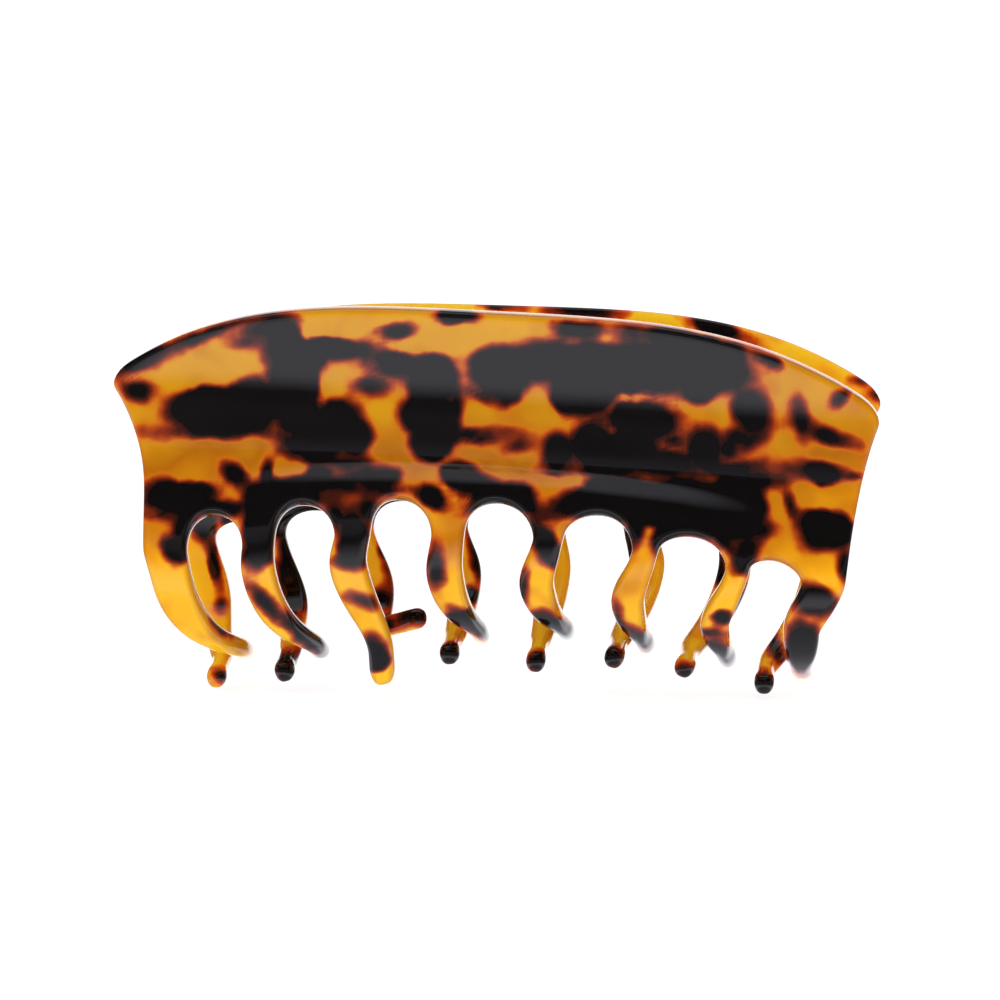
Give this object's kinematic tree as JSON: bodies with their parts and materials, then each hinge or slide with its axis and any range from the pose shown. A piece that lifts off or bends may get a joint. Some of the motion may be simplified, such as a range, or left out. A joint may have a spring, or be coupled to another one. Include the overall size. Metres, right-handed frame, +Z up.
{
  "type": "hair claw clip",
  "caption": "Large hair claw clip of tortoiseshell acetate sheet: two arched, toothed jaws that open about a sprung steel hinge.",
  "frame": {"origin": "centre of the bounding box's bottom face, the surface that the closed clip's outer teeth stand on", "axes": "+X along the clip's length and its hinge, +Y from the front jaw to the back jaw, +Z up from the teeth to the handles"},
  "size_m": [0.1093, 0.0294, 0.0556],
  "materials": {
    "tortoiseshell_acetate": "polished, amber with near-black and orange-brown patches",
    "plated_steel": "nickel-plated",
    "spring_steel": "drawn wire"
  },
  "bodies": {
    "back": {"back_jaw": "tortoiseshell_acetate", "back_hinge_bracket": "plated_steel", "hinge_pin": "plated_steel", "torsion_spring": "spring_steel", "back_rivet_left": "plated_steel", "back_rivet_right": "plated_steel"},
    "front": {"front_jaw": "tortoiseshell_acetate", "front_hinge_bracket": "plated_steel", "front_rivet_left": "plated_steel", "front_rivet_right": "plated_steel"}
  },
  "joints": [
    {"name": "jaw_open", "type": "hinge", "parent": "back", "child": "front", "pos_m": [0, 0, 0.0381], "axis": [-1, 0, 0], "range_deg": [0, 50], "stiffness_Nm_per_rad": 0.11, "springref_deg": -63.03, "deforming": ["torsion_spring"]}
  ]
}
